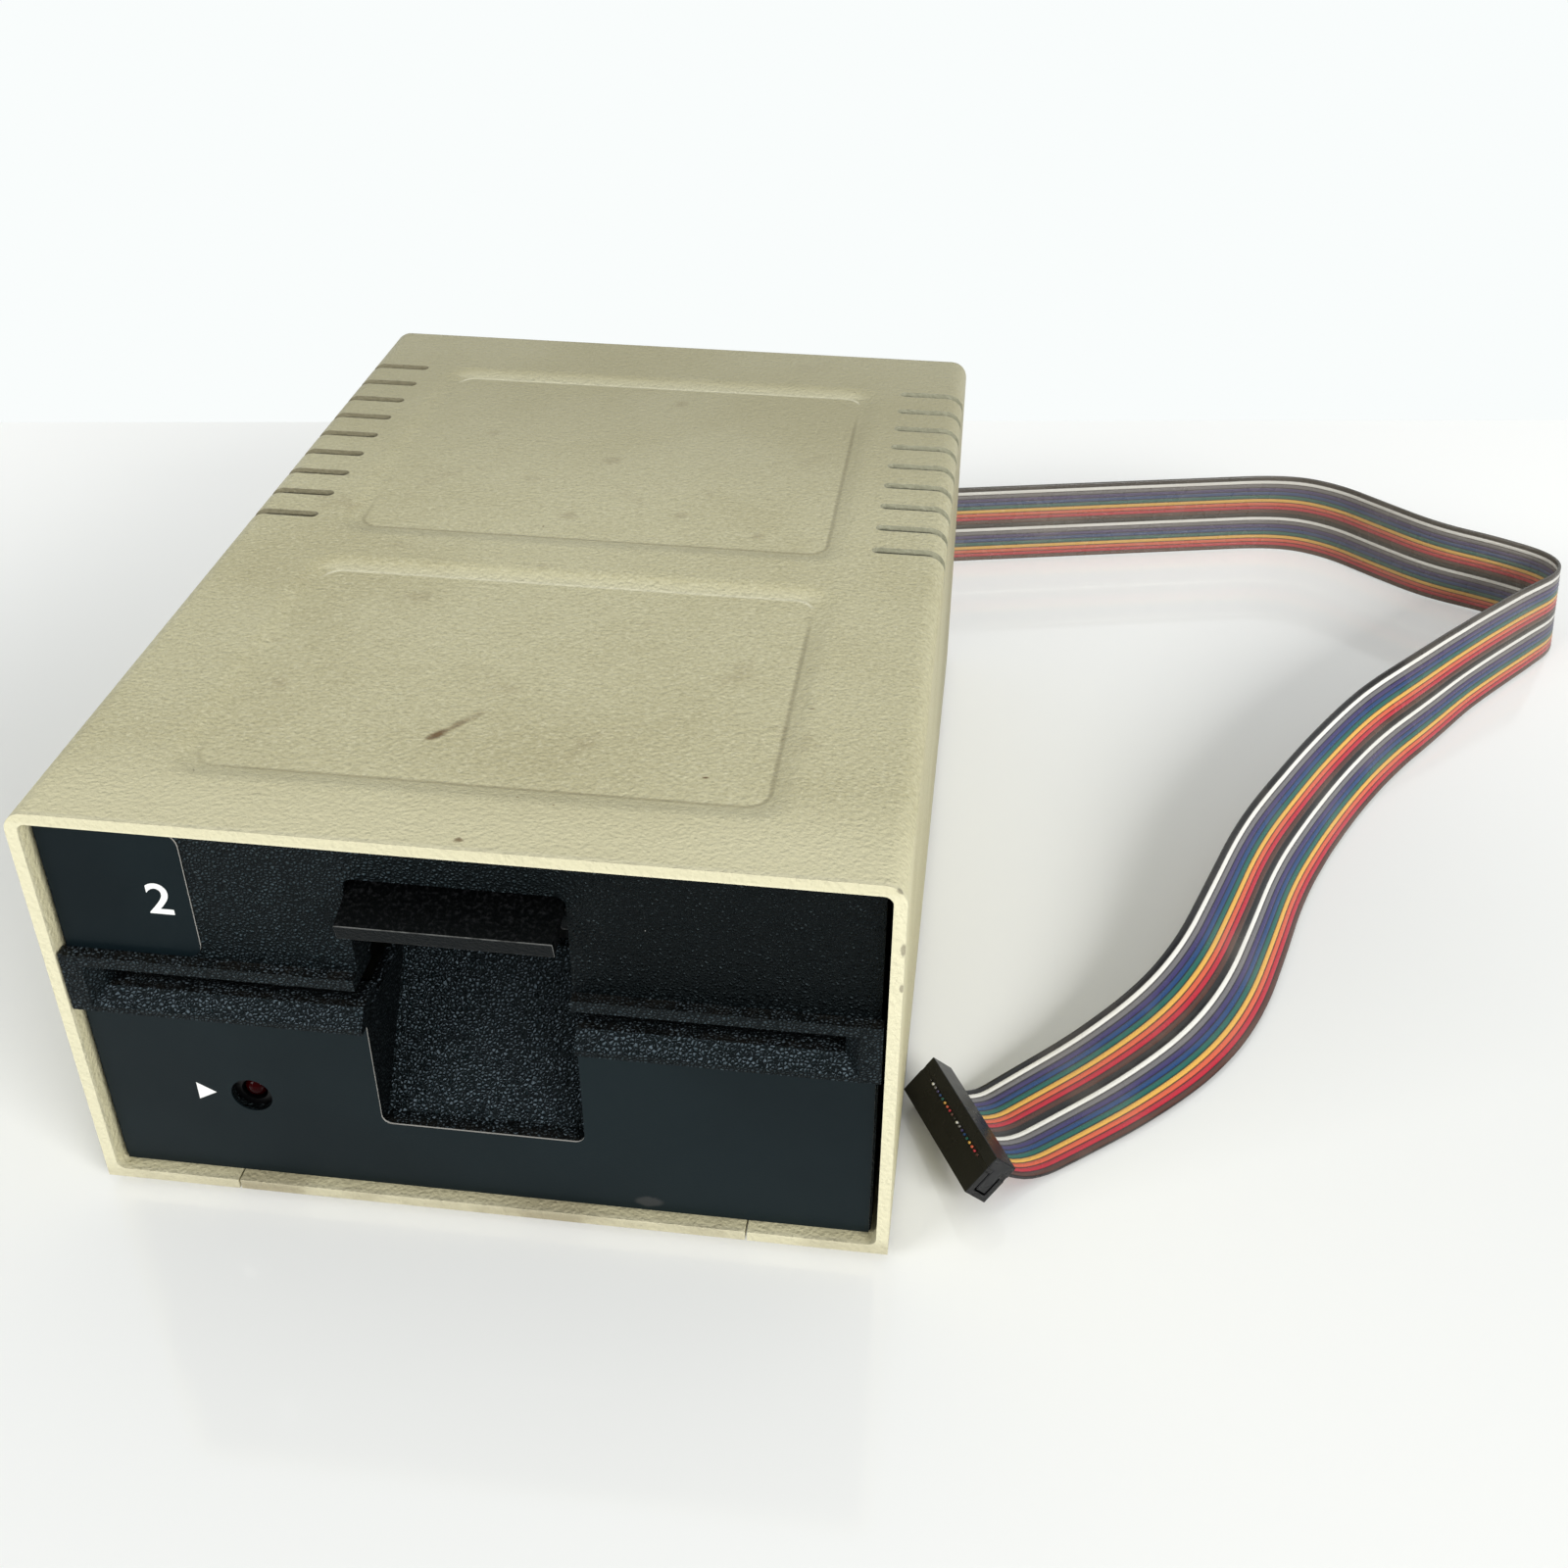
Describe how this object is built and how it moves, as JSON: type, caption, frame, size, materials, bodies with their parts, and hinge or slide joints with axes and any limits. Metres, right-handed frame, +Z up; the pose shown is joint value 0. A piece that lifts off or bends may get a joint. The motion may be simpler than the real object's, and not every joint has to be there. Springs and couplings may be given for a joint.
{
  "type": "external floppy disk drive",
  "caption": "Free-standing floppy disk drive in a beige metal case, with a black bezel, disk slot, turning door lever, inner mechanism and a rainbow ribbon cable ending in a socket plug.",
  "frame": {"origin": "middle of the drive's footprint, on the surface its feet stand on; the free ribbon cable and its plug are left out", "axes": "+X to the right seen from the front, +Y from the front bezel to the back, +Z up"},
  "size_m": [0.3328, 0.3142, 0.0912],
  "materials": {
    "case_paint": "fine textured beige enamel",
    "foot_rubber": "matte",
    "screw_steel": "zinc plated",
    "bezel_plastic": "leather grained",
    "label_film": "smooth satin film",
    "lamp_red": "clear dark red",
    "lever_plastic": "satin, worn edges",
    "cast_frame": "die cast",
    "guide_nylon": "natural nylon",
    "pulley_plastic": "matte black",
    "belt_rubber": "ground",
    "motor_shell": "plated",
    "pulley_brass": "turned",
    "cam_plastic": "acetal",
    "carriage_plastic": "glass filled",
    "head_ceramic": "polished ceramic",
    "pad_felt": "felt",
    "arm_steel": "pressed sheet",
    "switch_plastic": "moulded",
    "plunger_plastic": "moulded",
    "circuit_board": "solder mask",
    "board_components": "mixed small parts",
    "clamp_bar_plastic": "moulded",
    "ribbon_vinyl": "striped vinyl, one colour per wire",
    "plug_plastic": "moulded black"
  },
  "bodies": {
    "drive": {"outer_case": "case_paint", "base_pan": "case_paint", "rubber_feet": "foot_rubber", "pan_screws": "screw_steel", "chassis_screws": "screw_steel", "front_bezel": "bezel_plastic", "number_label": "label_film", "lower_label": "label_film", "led_collar": "bezel_plastic", "activity_led": "lamp_red", "door_pin": "screw_steel", "chassis": "cast_frame", "bezel_screws": "screw_steel", "guide_rail_left": "guide_nylon", "guide_rail_right": "guide_nylon", "spindle_bearings": "screw_steel", "drive_belt": "belt_rubber", "drive_motor": "motor_shell", "stepper_motor": "motor_shell", "guide_rods": "screw_steel", "rod_clamps": "pulley_plastic", "clamp_pin": "screw_steel", "switch_body": "switch_plastic", "analog_board": "circuit_board", "board_screws": "screw_steel", "board_chips": "switch_plastic", "board_parts": "board_components", "board_header": "switch_plastic", "inner_plug": "switch_plastic", "inner_ribbon": "ribbon_vinyl", "speed_board": "circuit_board", "speed_board_parts": "board_components", "cable_clamp_base": "clamp_bar_plastic", "cable_clamp_bar": "clamp_bar_plastic", "clamp_screws": "screw_steel", "ribbon_cable": "ribbon_vinyl", "plug_body": "plug_plastic", "plug_cap": "plug_plastic"},
    "door": {"door_lever": "lever_plastic"},
    "hub_clamp": {"clamp_arm": "arm_steel", "cone_spring": "screw_steel"},
    "cone": {"clamp_cone": "pulley_plastic", "cone_clip": "screw_steel"},
    "spindle": {"spindle_hub": "cast_frame", "spindle_pulley": "pulley_plastic"},
    "motor_rotor": {"motor_pulley": "pulley_brass"},
    "cam": {"cam_disc": "cam_plastic"},
    "carriage": {"head_carriage": "carriage_plastic", "read_write_head": "head_ceramic", "cam_follower": "screw_steel", "load_pin": "screw_steel"},
    "load_arm": {"load_arm": "pulley_plastic", "load_pad": "pad_felt"},
    "write_protect_plunger": {"switch_plunger": "plunger_plastic"}
  },
  "joints": [
    {"name": "door_hinge", "type": "hinge", "parent": "drive", "child": "door", "pos_m": [0, -0.09647, 0.0693], "axis": [1, 0, 0], "range_deg": [0, 75]},
    {"name": "hub_clamp_hinge", "type": "hinge", "parent": "drive", "child": "hub_clamp", "pos_m": [0, 0.01453, 0.0707], "axis": [1, 0, 0], "range_deg": [0, 12]},
    {"name": "cone_spin", "type": "hinge", "parent": "hub_clamp", "child": "cone", "pos_m": [0, -0.0334, 0.08089], "axis": [0, 0.2079, 0.9781], "continuous": true},
    {"name": "spindle_spin", "type": "hinge", "parent": "drive", "child": "spindle", "pos_m": [0, -0.03447, 0.0222], "axis": [0, 0, 1], "continuous": true},
    {"name": "motor_spin", "type": "hinge", "parent": "drive", "child": "motor_rotor", "pos_m": [0.046, 0.05453, 0.0222], "axis": [0, 0, 1], "continuous": true},
    {"name": "cam_turn", "type": "hinge", "parent": "drive", "child": "cam", "pos_m": [-0.024, 0.05453, 0.0362], "axis": [0, 0, 1], "range_deg": [0, 255]},
    {"name": "carriage_slide", "type": "slide", "parent": "drive", "child": "carriage", "axis": [0, -1, 0], "range_m": [0, 0.018]},
    {"name": "load_arm_hinge", "type": "hinge", "parent": "carriage", "child": "load_arm", "pos_m": [0, 0.04168, 0.0592], "axis": [1, 0, 0], "range_deg": [0, 14]},
    {"name": "plunger_slide", "type": "slide", "parent": "drive", "child": "write_protect_plunger", "axis": [0, 0, 1], "range_m": [0, 0.0012], "stiffness_N_per_m": 80, "springref_m": -0.0005}
  ],
  "couplings": [
    {"joint": "hub_clamp_hinge", "follows": "door_hinge", "ratio": 0.16},
    {"joint": "load_arm_hinge", "follows": "door_hinge", "ratio": 0.18667},
    {"joint": "cone_spin", "follows": "spindle_spin", "ratio": 1},
    {"joint": "motor_spin", "follows": "spindle_spin", "ratio": 5.2857},
    {"joint": "carriage_slide", "follows": "cam_turn", "m_per_rad": 0.0040444}
  ]
}
